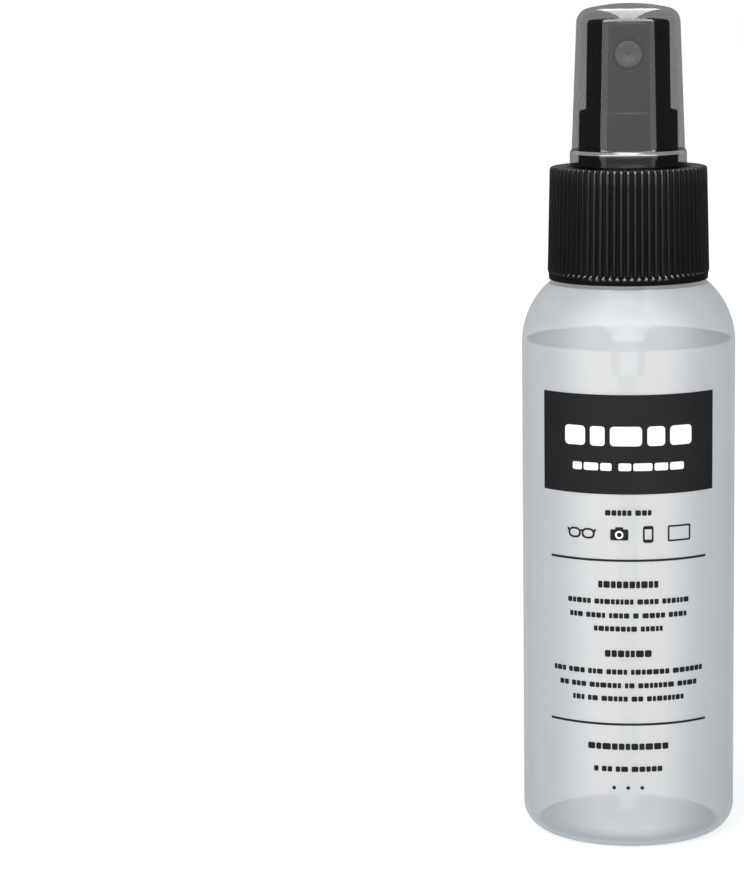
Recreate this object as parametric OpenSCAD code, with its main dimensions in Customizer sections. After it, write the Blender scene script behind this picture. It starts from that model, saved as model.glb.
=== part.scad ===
// Fine-mist spray bottle with a ribbed screw closure and a clear domed overcap.
// Millimetres. Origin at the centre of the bottle's base, +Z up, nozzle facing -Y.
// Every sub-part is its own module; all of them share this one frame.

/* [Bottle] */
// outside diameter of the bottle body
bottle_d = 41.0; // [40:0.5:46]
// height at which the straight body meets the shoulder curve
body_h = 95.9; // [80:0.1:120]
// radius of the rounded heel
heel_r = 5.0; // [4:0.25:7]
// radius of the shoulder curve
shoulder_r = 15.45; // [14.5:0.05:16]
// height of the shoulder curve before it is cut flat under the closure
shoulder_rise = 11.5; // [11:0.1:12]
// blow-moulded wall thickness
wall = 0.8; // [0.6:0.05:1.1]
// height of the push-up in the middle of the base
push_up = 2.2; // [1.5:0.1:3]
// depth of the liquid surface below the top of the neck
fill_drop = 28.7; // [28:0.1:60]

/* [Neck and thread] */
// radius of the neck wall between the threads (E / 2 of a 28-410 finish)
neck_r = 12.6; // [12.5:0.05:12.7]
// radius over the crest of the neck thread (T / 2 of a 28-410 finish)
thread_r = 13.8; // [13.6:0.05:13.85]
// height of the neck finish (H of a 28-410 finish)
neck_h = 17.6; // [17.4:0.1:18]
// bore of the neck
neck_bore_r = 10.7; // [10.2:0.1:10.9]
// thread pitch, six turns to the inch
pitch = 4.233; // [4.2:0.001:4.26]

/* [Closure] */
// radius over the ribs at the closure's lower end
closure_r_low = 15.5; // [15.2:0.05:15.7]
// radius over the ribs at the closure's upper end
closure_r_top = 15.05; // [14.75:0.05:15.15]
// number of grip ribs
rib_count = 72; // [60:6:90]
// radius at the bottom of the grooves between ribs
rib_root_r = 14.55; // [14.4:0.05:14.6]
// height of the plain band below the ribs
band_h = 1.6; // [1:0.1:2.4]

/* [Pump] */
// bore of the pump cylinder
cylinder_r = 4.5; // [4.4:0.05:4.6]
// radial running clearance of pistons, stems and swivels
run = 0.05; // [0.03:0.01:0.08]
// outside radius of the stem
stem_r = 2.3; // [2.2:0.05:2.4]
// outside radius of the dip tube
tube_r = 1.7; // [1.5:0.05:1.75]
// height of the dip tube's lower end above the base
tube_end = 4.4; // [4.2:0.1:10]
// coils in the return spring
spring_turns = 9; // [7:1:10]
// radius of the spring wire
wire_r = 0.28; // [0.22:0.02:0.32]
// stroke of the actuator, kept clear below its skirt
stroke = 4.5; // [3.5:0.1:4.5]

/* [Actuator and collar] */
// radius of the spray head where it enters the collar
head_r = 8.06; // [7.9:0.02:8.1]
// height of the spray head's top above the top of the neck
head_top = 32.8; // [31:0.05:33]
// height of the spray hole above the top of the neck
nozzle_h = 26.2; // [25.8:0.1:26.6]
// radius of the round recess that holds the nozzle insert
nozzle_r = 2.9; // [2.6:0.05:3]
// depth of the nozzle insert's face below the head's front
insert_depth = 0.7; // [0.4:0.05:1]
// height of the collar's rim above the top of the neck
collar_top = 15.4; // [15:0.1:16]

/* [Overcap] */
// outside radius of the overcap just above its flange
cap_r_low = 10.83; // [10.8:0.01:10.95]
// outside radius of the overcap where its top starts to round over
cap_r_top = 9.9; // [9.85:0.01:10]
// radius of the flange round the open end
cap_flange_r = 11.2; // [11.1:0.05:11.6]
// wall thickness of the overcap
cap_wall = 1.0; // [0.9:0.02:1]
// height of the overcap's crown above the top of the neck
cap_top = 35.6; // [35:0.1:38]

/* [Label] */
// height of the printed panel's lower edge above the base
panel_low = 69.4; // [40:0.1:74]
// height of the printed panel
panel_h = 18.9; // [10:0.05:20]
// angle the printed panel takes up round the bottle, in degrees
panel_angle = 101.4; // [60:0.2:160]
// thickness of the printed panel
panel_t = 0.06; // [0.05:0.01:0.15]

/* [Hidden] */
$fn = 96;
R = bottle_d / 2;
shoulder_x = R - shoulder_r;
land_z = body_h + shoulder_rise;
nz = land_z + neck_h;              // top of the neck; everything above hangs from it
inner_r = R - wall;
land_t = 1.2;
dome_x = R - heel_r - 2.5;         // inner edge of the flat ring the bottle stands on
dome_r = (dome_x * dome_x + push_up * push_up) / (2 * push_up);
dome_z = push_up - dome_r;
base_t = 1.0;
fill_z = nz - fill_drop;
turns = 1.5;
ridge_top = nz - 2.5;
ridge_low = ridge_top - turns * pitch;
closure_low = land_z + 0.7;
closure_top = nz + 4.7;
closure_bore = 14.0;
deck_low = nz + 3.3;
deck_hole = 9.63;
flange_r = 11.9;
housing_low = nz - 35.5;
socket_top = nz - 30.1;
seat_z = nz - 28.6;
ball_r = 1.6;
floor_z = nz - 25.0;
spring_z0 = floor_z + 1.0;
spring_z1 = nz - 12.03;
plug_z = nz - 12.0;
valve_z = nz - 10.8;
piston_h = 4.78;
guide_low = nz - 5.1;
stem_low = nz - 9.8;
stem_top = nz + 21.0;
web_top = nz + 6.0;
skirt_low = web_top + stroke + 0.1;
head_slope = 0.0155;
head_z0 = nz + 16.3;
nozzle_face_r = head_r - head_slope * (nz + nozzle_h - head_z0);
cap_low = nz + 4.85;
cap_seat = nz + 5.3;               // ledge inside the overcap that rests on the collar's rim
cap_wall_z0 = cap_low + 2.55;
cap_corner = 2.9;
crown_d = 3.7;                     // fall of the crown's line from the top to the corner's centre
cap_corner_z = nz + cap_top - crown_d;
cap_corner_x = cap_r_top - cap_corner;
// crown circle tangent to the corner circle
crown_r = (cap_corner_x * cap_corner_x + crown_d * crown_d - cap_corner * cap_corner)
          / (2 * (crown_d - cap_corner));

module box2(x0, z0, x1, z1) translate([x0, z0]) square([x1 - x0, z1 - z0]);

// trapezoid ridge swept along a helix; out = 1 for a neck, -1 for a closure
module ridge(r_root, r_crest, w_root, w_crest, z0, n_turns, out) {
    seg = 36;
    n = round(seg * n_turns);
    fade = 3;
    pts = [for (i = [0:n]) let (a = 360 * i / seg, z = z0 + pitch * i / seg,
               f = min(1, 0.12 + 0.88 * min(i, n - i) / fade),
               rc = r_root + (r_crest - r_root) * f)
             for (q = [[r_root, -w_root / 2], [rc, -w_crest / 2], [rc, w_crest / 2], [r_root, w_root / 2]])
               [q[0] * cos(a), q[0] * sin(a), z + q[1]]];
    side = [for (i = [0:n - 1], j = [0:3])
              let (a = 4 * i + j, b = 4 * i + (j + 1) % 4, c = b + 4, d = a + 4)
                each [[a, b, c], [a, c, d]]];
    caps = [[3, 2, 1], [3, 1, 0], [4 * n, 4 * n + 1, 4 * n + 2], [4 * n, 4 * n + 2, 4 * n + 3]];
    all_faces = concat(side, caps);
    polyhedron(points = pts,
        faces = out > 0 ? all_faces : [for (t = all_faces) [t[2], t[1], t[0]]]);
}

module bottle_outer2() {
    box2(0, heel_r, R, body_h);
    box2(0, 0, R - heel_r, heel_r);
    translate([R - heel_r, heel_r]) circle(heel_r);
    intersection() {
        translate([shoulder_x, body_h]) circle(shoulder_r);
        box2(0, body_h - 2, R + 1, land_z);
    }
    box2(0, body_h - 1, shoulder_x + 1, land_z);
    polygon([[0, land_z - 1], [neck_r, land_z - 1], [neck_r, nz - 0.3], [neck_r - 0.3, nz], [0, nz]]);
    difference() {
        box2(neck_r - 0.5, land_z - 0.5, neck_r + 1.0, land_z + 1.0);
        translate([neck_r + 1.0, land_z + 1.0]) circle(1.0);
    }
}

// the bottle's inside, drawn back by g all over
module cavity2(g) {
    difference() {
        union() {
            box2(0, heel_r, inner_r - g, body_h);
            box2(0, wall + g, R - heel_r, heel_r);
            translate([R - heel_r, heel_r]) circle(heel_r - wall - g);
            intersection() {
                translate([shoulder_x, body_h]) circle(shoulder_r - wall - g);
                box2(0, body_h - 2, R, land_z - land_t - g);
            }
            box2(0, body_h - 1, shoulder_x + 1, land_z - land_t - g);
        }
        intersection() {
            translate([0, dome_z]) circle(dome_r + base_t + g);
            box2(0, -1, R, push_up + base_t + 1);
        }
    }
}

module bottle() color([0.86, 0.88, 0.90, 0.9]) {
    rotate_extrude() difference() {
        bottle_outer2();
        cavity2(0);
        box2(-1, land_z - 3, neck_bore_r, nz + 1);
        translate([0, dome_z]) circle(dome_r);
        box2(-50, -1, 0, nz + 1);
    }
    ridge(neck_r - 0.4, thread_r, 2.7, 1.0, ridge_low, turns, 1);
}

module cleaning_fluid() color([0.86, 0.92, 0.96, 0.5])
    rotate_extrude() difference() {
        intersection() {
            cavity2(0.02);
            box2(0, 0, R, fill_z);
        }
        box2(-1, -1, tube_r + 0.1, fill_z + 1);
        box2(-1, housing_low - 0.1, 3.3, fill_z + 1);
    }

module label_panel() color([0.07, 0.07, 0.08])
    rotate([0, 0, -90 - panel_angle / 2])
        rotate_extrude(angle = panel_angle)
            box2(R + 0.005, panel_low, R + 0.005 + panel_t, panel_low + panel_h);

module closure() color([0.04, 0.04, 0.045]) {
    step = 360 / rib_count;
    difference() {
        union() {
            intersection() {
                translate([0, 0, closure_low + band_h - 0.2])
                    linear_extrude(closure_top - closure_low)
                        polygon([for (k = [0:rib_count - 1])
                            for (q = [[-0.50, rib_root_r], [-0.25, rib_root_r + 0.22],
                                      [-0.16, closure_r_low + 0.2], [0.16, closure_r_low + 0.2],
                                      [0.25, rib_root_r + 0.22]])
                                let (a = step * (k + q[0])) [q[1] * cos(a), q[1] * sin(a)]]);
                rotate_extrude() {
                    polygon([[0, closure_low], [closure_r_low, closure_low],
                             [closure_r_top, closure_top - 0.5], [0, closure_top - 0.5]]);
                    translate([closure_r_top - 0.5, closure_top - 0.5]) circle(0.5);
                    box2(0, closure_top - 1, closure_r_top - 0.5, closure_top);
                }
            }
            translate([0, 0, closure_low]) cylinder(h = band_h, r = closure_r_low - 0.18);
        }
        rotate_extrude() {
            polygon([[0, closure_low - 1], [closure_bore + 0.5, closure_low - 1],
                     [closure_bore + 0.5, closure_low], [closure_bore, closure_low + 0.5],
                     [closure_bore, nz + 0.4], [flange_r + 0.4, nz + 0.4],
                     [flange_r + 0.4, deck_low], [deck_hole, deck_low],
                     [deck_hole, closure_top + 1], [0, closure_top + 1]]);
        }
    }
    ridge(closure_bore + 0.25, neck_r + 0.28, 2.0, 0.8, ridge_low - pitch / 2, 1.25, -1);
}

module neck_gasket() color([0.85, 0.86, 0.87])
    rotate_extrude() box2(5.7, nz + 0.02, 12.0, nz + 1.0);

module pump_housing() color([0.93, 0.93, 0.93])
    difference() {
        rotate_extrude() difference() {
            union() {
                polygon([[0, housing_low], [3.2, housing_low], [3.2, floor_z - 2.5],
                         [5.6, floor_z - 0.5], [5.6, nz + 1.0], [flange_r, nz + 1.0],
                         [flange_r, nz + 3.2], [flange_r - 1.5, nz + 3.2],
                         [flange_r - 1.5, nz + 2.4], [0, nz + 2.4]]);
            }
            polygon([[0, housing_low - 1], [tube_r + 0.02, housing_low - 1], [tube_r + 0.02, socket_top],
                     [1.1, socket_top], [1.1, seat_z], [1.9, seat_z + 0.8], [1.9, floor_z],
                     [cylinder_r, floor_z], [cylinder_r, nz + 3], [0, nz + 3]]);
        }
        // air vent into the bottle
        translate([0, 0, nz - 2.5]) rotate([90, 0, 0]) cylinder(h = 8, r = 0.4);
    }

module collar() color([0.04, 0.04, 0.045])
    rotate_extrude() difference() {
        polygon([[0, guide_low], [cylinder_r - run, guide_low], [cylinder_r - run, nz + 2.4],
                 [9.55, nz + 2.4], [9.55, nz + 4.8], [10.4, nz + 4.8], [10.4, nz + 5.25],
                 [9.5, nz + 5.25], [9.48, nz + 7.9], [9.36, nz + collar_top - 0.3],
                 [9.06, nz + collar_top], [0, nz + collar_top]]);
        box2(-1, guide_low - 1, stem_r + run, web_top + 1);
        box2(-1, web_top, 8.4, nz + collar_top + 1);
        box2(5.6, nz + 1, 8.4, nz + 4.6);
    }

module stem() color([0.93, 0.93, 0.93])
    rotate_extrude()
        polygon([[1.0, stem_low], [stem_r, stem_low], [stem_r, stem_top - 0.4],
                 [stem_r - 0.3, stem_top], [1.0, stem_top]]);

module valve_plug() color([0.90, 0.91, 0.92]) {
    rotate_extrude()
        polygon([[0, plug_z - 1.4], [1.8, plug_z - 1.4], [2.1, plug_z - 1.1], [2.1, plug_z],
                 [3.3, plug_z], [3.3, valve_z - 0.3], [3.0, valve_z], [0, valve_z]]);
    intersection() {
        union() {
            translate([-0.35, -2, valve_z - 0.5]) cube([0.7, 4, 7.3]);
            translate([-2, -0.35, valve_z - 0.5]) cube([4, 0.7, 7.3]);
        }
        translate([0, 0, valve_z - 0.5]) cylinder(h = 7.3, r = 0.96);
    }
}

module piston() color([0.95, 0.95, 0.94])
    translate([0, 0, valve_z + 0.02]) rotate_extrude()
        polygon([[stem_r + run, 0], [2.9, 0], [3.0, 1.2], [cylinder_r - 0.15, 0.3],
                 [cylinder_r - run, 0.5], [cylinder_r - run, 1.1], [3.7, 2.0], [3.7, 2.8],
                 [cylinder_r - run, 3.7], [cylinder_r - run, 4.3], [cylinder_r - 0.15, 4.5],
                 [3.0, 3.6], [2.9, piston_h], [stem_r + run, piston_h]]);

module return_spring() color([0.72, 0.73, 0.75]) {
    seg = 20;
    sides = 6;
    n = spring_turns * seg;
    coil_r = 2.7;
    lo = spring_z0 + wire_r + 0.02;
    hi = spring_z1 - wire_r - 0.02;
    dead = 2 * wire_r + 0.06;                       // pitch of the closed end coils
    mid = (hi - lo - 2 * dead) / (spring_turns - 2);
    pts = [for (i = [0:n]) let (a = 360 * i / seg, t = i / seg, rise = (t < 1) ? dead * t
               : (t > spring_turns - 1) ? hi - lo - dead * (spring_turns - t)
               : dead + mid * (t - 1), z = lo + rise)
             for (j = [0:sides - 1]) let (b = 360 * j / sides, q = coil_r + wire_r * cos(b))
               [q * cos(a), q * sin(a), z + wire_r * sin(b)]];
    side = [for (i = [0:n - 1], j = [0:sides - 1])
              let (a = sides * i + j, b = sides * i + (j + 1) % sides, c = b + sides, d = a + sides)
                each [[a, b, c], [a, c, d]]];
    cap0 = [for (j = [1:sides - 2]) [0, j + 1, j]];
    cap1 = [for (j = [1:sides - 2]) [sides * n, sides * n + j, sides * n + j + 1]];
    polyhedron(points = pts, faces = concat(side, cap0, cap1));
}

module spring_seat() color([0.95, 0.95, 0.94])
    translate([0, 0, floor_z + 0.02]) difference() {
        union() {
            cylinder(h = 0.98, r = cylinder_r - 0.1);
            cylinder(h = 2.1, r = 2.1);
        }
        translate([0, 0, -1]) cylinder(h = 5, r = 0.9);
        for (a = [0:90:270]) rotate([0, 0, a]) translate([3.4, 0, -1]) cylinder(h = 5, r = 0.55);
        translate([-3.6, -0.5, -1]) cube([7.2, 1.0, 1.45]);
        translate([-0.5, -3.6, -1]) cube([1.0, 7.2, 1.45]);
    }

module check_ball() color([0.78, 0.79, 0.80])
    translate([0, 0, seat_z - 1.1 + ball_r * sqrt(2) + 0.02]) sphere(r = ball_r);

module dip_tube() color([0.92, 0.93, 0.94, 0.8])
    difference() {
        translate([0, 0, tube_end]) cylinder(h = socket_top - 0.1 - tube_end, r = tube_r);
        translate([0, 0, tube_end - 1]) cylinder(h = socket_top, r = tube_r - 0.6);
        // V cut that keeps the end from sealing on the base
        translate([-5, 0, tube_end]) rotate([45, 0, 0]) cube([10, 1.6, 1.6], center = false);
        translate([-5, 0, tube_end]) rotate([-135, 0, 0]) translate([0, -0.8, -0.8]) cube([10, 1.6, 1.6]);
    }

// radius of the spray head's side at height z
function hr(z) = head_r - head_slope * (z - head_z0);

module actuator() color([0.04, 0.04, 0.045]) {
    ht = nz + head_top;
    er = 0.8;                                       // rounding of the top edge
    drop = 1.15;                                    // fall of the crown from middle to side
    rt = hr(ht - drop);
    x1 = rt - er;
    // crown circle tangent to the edge rounding
    cr = (x1 * x1 + drop * drop - er * er) / (2 * (drop - er));
    difference() {
        rotate_extrude() difference() {
            union() {
                polygon([[0, skirt_low], [hr(skirt_low), skirt_low], [rt, ht - drop], [0, ht - drop]]);
                translate([x1, ht - drop]) circle(er);
                intersection() {
                    translate([0, ht - cr]) circle(cr);
                    box2(0, ht - drop - 0.5, x1 * cr / (cr - er), ht + 1);
                }
            }
            // finger dish
            translate([0, ht - 0.45 + 20]) circle(20);
            // hollow under the head, leaving the central boss
            polygon([[3.8, skirt_low - 1], [7.1, skirt_low - 1], [7.0, ht - 9.9], [3.8, ht - 9.9]]);
            box2(-1, skirt_low - 1, stem_r + run, stem_top + 0.05);
            box2(-1, stem_top - 1, 1.0, nz + nozzle_h);
            box2(-50, skirt_low - 1, 0, ht + 1);
        }
        translate([0, 0, nz + nozzle_h]) rotate([90, 0, 0]) cylinder(h = 6, r = 0.9);
        translate([0, -4.4, nz + nozzle_h]) rotate([90, 0, 0]) cylinder(h = 6, r = nozzle_r);
    }
}

module nozzle_insert() color([0.05, 0.05, 0.055]) {
    face = nozzle_face_r - insert_depth;
    translate([0, 0, nz + nozzle_h]) rotate([90, 0, 0]) difference() {
        translate([0, 0, 4.45]) cylinder(h = face - 4.45, r = nozzle_r - 0.05);
        translate([0, 0, 4]) cylinder(h = face - 4 - 0.9, r = 0.9);
        cylinder(h = 10, r = 0.2);
        // shallow countersink round the orifice
        translate([0, 0, face - 0.5]) cylinder(h = 0.7, r1 = 0.35, r2 = 1.3);
    }
}

module cap2(g) {
    x1 = cap_corner_x;
    c = cap_corner - g;
    k = (crown_r - g) / (crown_r - cap_corner);
    // wall
    polygon([[0, cap_wall_z0], [cap_r_low - g, cap_wall_z0], [cap_r_top - g, cap_corner_z], [0, cap_corner_z]]);
    translate([x1, cap_corner_z]) circle(c);
    intersection() {
        translate([0, nz + cap_top - crown_r]) circle(crown_r - g);
        box2(0, cap_corner_z - 1, x1 * k, nz + cap_top + 1);
    }
}

module overcap() color([0.20, 0.21, 0.22, 0.45])
    rotate_extrude() difference() {
        union() {
            cap2(0);
            box2(0, cap_low, cap_flange_r, cap_wall_z0 - 0.3);
            polygon([[0, cap_wall_z0 - 0.31], [cap_flange_r, cap_wall_z0 - 0.31],
                     [cap_flange_r - 0.2, cap_wall_z0], [0, cap_wall_z0]]);
        }
        difference() {
            cap2(cap_wall);
            box2(0, 0, 50, cap_wall_z0);
        }
        box2(-1, cap_low - 1, cap_r_low - cap_wall, cap_wall_z0 + 0.01);
        box2(-1, cap_low - 1, 10.5, cap_seat);
        box2(-50, 0, 0, nz + cap_top + 1);
    }

bottle();
cleaning_fluid();
label_panel();
closure();
neck_gasket();
pump_housing();
collar();
stem();
valve_plug();
piston();
return_spring();
spring_seat();
check_ball();
dip_tube();
actuator();
nozzle_insert();
overcap();
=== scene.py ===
import math

import bmesh
import bpy
from mathutils import Matrix, Vector


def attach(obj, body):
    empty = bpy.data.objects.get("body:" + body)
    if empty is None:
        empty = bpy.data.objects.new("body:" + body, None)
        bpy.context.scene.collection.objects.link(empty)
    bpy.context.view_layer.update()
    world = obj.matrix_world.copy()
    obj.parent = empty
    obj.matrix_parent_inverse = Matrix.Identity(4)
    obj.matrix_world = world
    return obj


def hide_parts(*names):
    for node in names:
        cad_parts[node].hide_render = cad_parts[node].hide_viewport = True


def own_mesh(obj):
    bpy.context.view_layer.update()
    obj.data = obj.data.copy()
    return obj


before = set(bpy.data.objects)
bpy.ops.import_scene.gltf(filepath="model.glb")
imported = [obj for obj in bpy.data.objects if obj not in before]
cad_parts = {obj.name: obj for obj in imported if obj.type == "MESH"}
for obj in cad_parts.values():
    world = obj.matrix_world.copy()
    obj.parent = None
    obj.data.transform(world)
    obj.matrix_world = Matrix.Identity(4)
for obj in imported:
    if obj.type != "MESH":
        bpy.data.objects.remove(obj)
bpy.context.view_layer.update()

MM = 0.001
scene = bpy.context.scene

# ---------------------------------------------------------------- sizes, as in the CAD (mm)
R = 20.5
HEEL = 5.0
BODY_H = 95.9
SHOULDER = 15.45
LAND = 107.4
NZ = 125.0
WALL = 0.8
BORE = 10.7
FILL = 96.3
PITCH = 4.233


# ---------------------------------------------------------------- mesh helpers
def arc(cx, cz, r, a0, a1, n):
    """n + 1 points of an arc in the (r, z) half plane, angles in degrees."""
    return [
        (
            cx + r * math.cos(math.radians(a0 + (a1 - a0) * i / n)),
            cz + r * math.sin(math.radians(a0 + (a1 - a0) * i / n)),
        )
        for i in range(n + 1)
    ]


def line(p, q, n):
    return [(p[0] + (q[0] - p[0]) * i / n, p[1] + (q[1] - p[1]) * i / n) for i in range(n + 1)]


def clean(points, eps=1e-4):
    out = []
    for p in points:
        if not out or math.dist(p, out[-1]) > eps:
            out.append(p)
    return out


def finish_mesh(bm, name, sharp=32.0, coll=None):
    bmesh.ops.recalc_face_normals(bm, faces=bm.faces)
    limit = math.radians(sharp)
    for f in bm.faces:
        f.smooth = True
    for e in bm.edges:
        if len(e.link_faces) == 2 and e.calc_face_angle(0.0) > limit:
            e.smooth = False
    me = bpy.data.meshes.new(name)
    bm.to_mesh(me)
    bm.free()
    ob = bpy.data.objects.new(name, me)
    scene.collection.objects.link(ob)
    return ob


def lathe(name, prof, seg=192, loop=False, sharp=32.0, axis="z", split=None, weld=True):
    """Turn a profile of (r, z) in mm. loop closes a ring section; otherwise both ends lie on the axis.
    split(r, z) names the material index of the face whose middle is there."""
    prof = clean(prof)
    if loop and math.dist(prof[0], prof[-1]) < 1e-4:
        prof = prof[:-1]
    bm = bmesh.new()
    rings = []
    for r, z in prof:
        if r < 1e-6:
            rings.append([bm.verts.new(place(0, 0, z, axis))])
        else:
            rings.append(
                [
                    bm.verts.new(
                        place(
                            r * math.cos(2 * math.pi * k / seg),
                            r * math.sin(2 * math.pi * k / seg),
                            z,
                            axis,
                        )
                    )
                    for k in range(seg)
                ]
            )
    n = len(rings)
    for i in range(n if loop else n - 1):
        a, b = rings[i], rings[(i + 1) % n]
        mid = (
            (prof[i][0] + prof[(i + 1) % n][0]) / 2,
            (prof[i][1] + prof[(i + 1) % n][1]) / 2,
        )
        m = split(*mid) if split else 0
        for k in range(seg):
            k2 = (k + 1) % seg
            if len(a) == 1 and len(b) == 1:
                continue
            if len(a) == 1:
                f = bm.faces.new((a[0], b[k2], b[k]))
            elif len(b) == 1:
                f = bm.faces.new((a[k], a[k2], b[0]))
            else:
                f = bm.faces.new((a[k], a[k2], b[k2], b[k]))
            f.material_index = m
    return finish_mesh(bm, name, sharp)


def place(x, y, z, axis):
    if axis == "z":
        return (x * MM, y * MM, z * MM)
    # axis "-y": the profile's z runs forward along -Y
    return (x * MM, -z * MM, y * MM)


def shift(ob, dz):
    for v in ob.data.vertices:
        v.co.z += dz * MM
    return ob


def helix(name, r_root, r_crest, w_root, w_crest, z0, turns, seg=72):
    """A thread ridge with run-out ends, closed at both ends."""
    bm = bmesh.new()
    n = round(seg * turns)
    rings = []
    for i in range(n + 1):
        a = 2 * math.pi * i / seg
        z = z0 + PITCH * i / seg
        f = min(1.0, 0.12 + 0.88 * math.sin(min(1.0, min(i, n - i) / (seg * 0.09)) * math.pi / 2))
        rc = r_root + (r_crest - r_root) * f
        soft = 0.18
        sec = [
            (r_root, -w_root / 2),
            (rc + (r_root - rc) * soft, -w_crest / 2 - 0.10),
            (rc, -w_crest / 2 + 0.10),
            (rc, w_crest / 2 - 0.10),
            (rc + (r_root - rc) * soft, w_crest / 2 + 0.10),
            (r_root, w_root / 2),
        ]
        rings.append(
            [
                bm.verts.new((q * math.cos(a) * MM, q * math.sin(a) * MM, (z + h) * MM))
                for q, h in sec
            ]
        )
    m = len(rings[0])
    for i in range(n):
        for j in range(m):
            k = (j + 1) % m
            bm.faces.new((rings[i][j], rings[i][k], rings[i + 1][k], rings[i + 1][j]))
    bm.faces.new(rings[0])
    bm.faces.new(rings[-1])
    return finish_mesh(bm, name, 50)


# ---------------------------------------------------------------- material helpers
def new_mat(name):
    m = bpy.data.materials.new(name)
    m.use_nodes = True
    nt = m.node_tree
    for n in list(nt.nodes):
        nt.nodes.remove(n)
    out = nt.nodes.new("ShaderNodeOutputMaterial")
    bsdf = nt.nodes.new("ShaderNodeBsdfPrincipled")
    nt.links.new(bsdf.outputs["BSDF"], out.inputs["Surface"])
    return m, nt, bsdf


def coords(nt, scale=(1, 1, 1)):
    tc = nt.nodes.new("ShaderNodeTexCoord")
    mp = nt.nodes.new("ShaderNodeMapping")
    mp.inputs["Scale"].default_value = scale
    nt.links.new(tc.outputs["Object"], mp.inputs["Vector"])
    return mp.outputs["Vector"]


def noise(nt, vec, scale, detail=3.0, rough=0.5):
    n = nt.nodes.new("ShaderNodeTexNoise")
    n.inputs["Scale"].default_value = scale
    n.inputs["Detail"].default_value = detail
    n.inputs["Roughness"].default_value = rough
    nt.links.new(vec, n.inputs["Vector"])
    return n.outputs["Fac"]


def ramp(nt, fac, stops):
    r = nt.nodes.new("ShaderNodeValToRGB")
    el = r.color_ramp.elements
    while len(el) < len(stops):
        el.new(0.5)
    for e, (p, c) in zip(el, stops):
        e.position = p
        e.color = (*c, 1.0) if len(c) == 3 else c
    nt.links.new(fac, r.inputs["Fac"])
    return r.outputs["Color"]


def spread(nt, fac, lo, hi):
    m = nt.nodes.new("ShaderNodeMapRange")
    m.inputs["To Min"].default_value = lo
    m.inputs["To Max"].default_value = hi
    nt.links.new(fac, m.inputs["Value"])
    return m.outputs["Result"]


def bump(nt, bsdf, height, strength, distance):
    b = nt.nodes.new("ShaderNodeBump")
    b.inputs["Strength"].default_value = strength
    b.inputs["Distance"].default_value = distance
    nt.links.new(height, b.inputs["Height"])
    nt.links.new(b.outputs["Normal"], bsdf.inputs["Normal"])


def moulded(
    name, c_lo, c_hi, rough=(0.25, 0.35), grain=900.0, bump_mm=0.004, alpha=1.0, coat=0.0, spec=0.5, ior=1.49
):
    """Moulded plastic: slow colour drift, fine surface grain in roughness and bump."""
    m, nt, b = new_mat(name)
    v = coords(nt)
    slow = noise(nt, v, 70.0, 2.0)
    fine = noise(nt, v, grain, 4.0, 0.6)
    nt.links.new(ramp(nt, slow, [(0.3, c_lo), (0.7, c_hi)]), b.inputs["Base Color"])
    nt.links.new(spread(nt, fine, *rough), b.inputs["Roughness"])
    bump(nt, b, fine, 0.35, bump_mm * MM)
    b.inputs["IOR"].default_value = ior
    b.inputs["Specular IOR Level"].default_value = spec
    b.inputs["Alpha"].default_value = alpha
    if coat:
        b.inputs["Coat Weight"].default_value = coat
        b.inputs["Coat Roughness"].default_value = 0.06
    return m, nt, b


M_OUTER, nt, b = moulded("bottle_milky_outer", (0.80, 0.80, 0.80), (0.82, 0.82, 0.82), (0.36, 0.44), 420.0, 0.006, alpha=0.56, spec=0.10)
# the milky wall is painted greyer and bluer towards its silhouettes: painted shade for the light falling off round the
# sides, partly the real look of a wall seen edge-on
lw = nt.nodes.new("ShaderNodeLayerWeight")
lw.inputs["Blend"].default_value = 0.5
side_shade = ramp(
    nt,
    lw.outputs["Facing"],
    [
        (0.0, (0.745, 0.755, 0.765)),
        (0.08, (0.74, 0.75, 0.76)),
        (0.15, (0.655, 0.675, 0.69)),
        (0.22, (0.575, 0.605, 0.625)),
        (0.32, (0.515, 0.55, 0.575)),
        (1.0, (0.50, 0.54, 0.565)),
    ],
)
slow = noise(nt, coords(nt), 70.0, 2.0)
tone = ramp(nt, slow, [(0.3, (0.985, 0.985, 0.985)), (0.7, (1.0, 1.0, 1.0))])
mixc = nt.nodes.new("ShaderNodeMix")
mixc.data_type = "RGBA"
mixc.blend_type = "MULTIPLY"
mixc.inputs["Factor"].default_value = 1.0
nt.links.new(side_shade, mixc.inputs[6])
nt.links.new(tone, mixc.inputs[7])
nt.links.new(mixc.outputs[2], b.inputs["Base Color"])
M_INNER = moulded("bottle_milky_inner", (0.90, 0.91, 0.92), (0.93, 0.935, 0.94), (0.45, 0.55), 420.0, 0.006, alpha=0.10, spec=0.1)[0]
# the free surface gets a dark blue, nearly opaque copy of the liquid, the sides a pale, nearly clear one: partly the
# liquid's own tint, partly painted shade so the liquid line reads darker through the milky wall
M_SURF_SHADE = moulded("liquid_surface_shade", (0.13, 0.19, 0.29), (0.16, 0.22, 0.32), (0.10, 0.15), 60.0, 0.02, alpha=0.80, ior=1.33, spec=0.2)[0]
M_SIDE = moulded("liquid_side", (0.88, 0.90, 0.92), (0.91, 0.93, 0.94), (0.10, 0.15), 60.0, 0.02, alpha=0.06, ior=1.33, spec=0.2)[0]
M_CLOSURE = moulded("closure_black", (0.0038, 0.0038, 0.0041), (0.0048, 0.0048, 0.0051), (0.15, 0.20), 1100.0, 0.0008)[0]
M_GROOVE = moulded("closure_black_groove", (0.0040, 0.0040, 0.0043), (0.0050, 0.0050, 0.0053), (0.50, 0.60), 1100.0, 0.003, spec=0.12)[0]
M_COLLAR = moulded("collar_black", (0.0042, 0.0042, 0.0045), (0.0055, 0.0055, 0.0058), (0.15, 0.18), 1100.0, 0.0004, spec=0.40)[0]
M_HEAD = moulded("head_black", (0.0042, 0.0042, 0.0045), (0.0055, 0.0055, 0.0058), (0.15, 0.18), 1100.0, 0.0004)[0]
M_INSERT = moulded("insert_black", (0.19, 0.19, 0.192), (0.21, 0.21, 0.212), (0.34, 0.42), 1100.0, 0.002)[0]
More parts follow.
